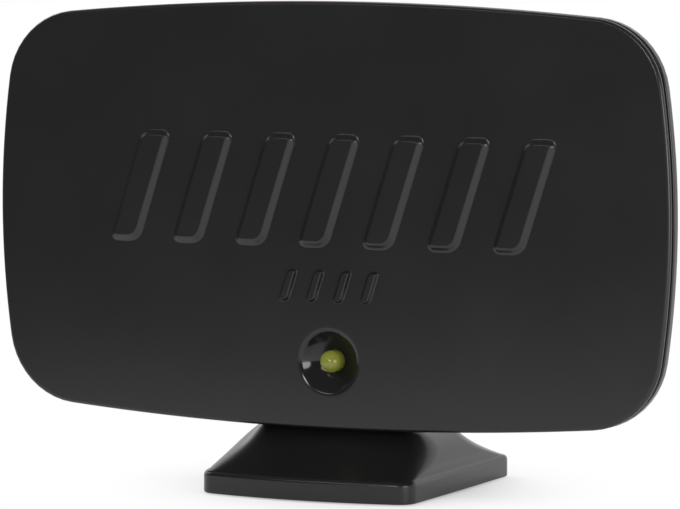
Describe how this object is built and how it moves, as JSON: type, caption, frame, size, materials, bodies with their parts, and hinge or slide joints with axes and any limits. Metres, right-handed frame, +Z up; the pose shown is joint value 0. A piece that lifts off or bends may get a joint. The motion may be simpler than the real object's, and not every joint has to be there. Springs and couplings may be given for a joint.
{
  "type": "indoor tv antenna",
  "caption": "Indoor panel antenna with bowed edges, a lamp in a round dish and a raised relief, on a low flared stand, with an aerial socket at the back.",
  "frame": {"origin": "under the middle of the stand, on the surface that the feet rest on", "axes": "+Z up, the panel's face looks along -Y, +X to the viewer's right"},
  "size_m": [0.1632, 0.0628, 0.1094],
  "materials": {
    "panel_plastic": "semi-gloss black moulded plastic",
    "stand_plastic": "semi-gloss black moulded plastic",
    "lamp_resin": "tinted diffuse resin",
    "tinned_metal": "tin plated",
    "screw_steel": "zinc plated",
    "board_laminate": "green solder mask",
    "chip_black": "moulded chip package",
    "chip_ceramic": "ceramic",
    "ferrite": "sintered ferrite",
    "radiator_sheet": "stamped sheet",
    "socket_plating": "nickel plated",
    "socket_insulator": "white plastic",
    "socket_contact": "plated spring contact",
    "ballast_steel": "plain steel",
    "foot_rubber": "soft matte rubber"
  },
  "bodies": {
    "root": {"front_cover": "panel_plastic", "rear_cover": "panel_plastic", "screws": "screw_steel", "led_lens": "lamp_resin", "led_leads": "tinned_metal", "circuit_board": "board_laminate", "shield_can": "tinned_metal", "amplifier_chip": "chip_black", "balun_core": "ferrite", "chip_parts": "chip_ceramic", "dipole_plate_left": "radiator_sheet", "dipole_plate_right": "radiator_sheet", "coax_body": "socket_plating", "coax_insulator": "socket_insulator", "coax_contact": "socket_contact", "coax_nut": "socket_plating", "stand_body": "stand_plastic", "base_plate": "stand_plastic", "ballast_weight": "ballast_steel", "foot_pad_front_left": "foot_rubber", "foot_pad_front_right": "foot_rubber", "foot_pad_back_left": "foot_rubber", "foot_pad_back_right": "foot_rubber"}
  },
  "joints": []
}
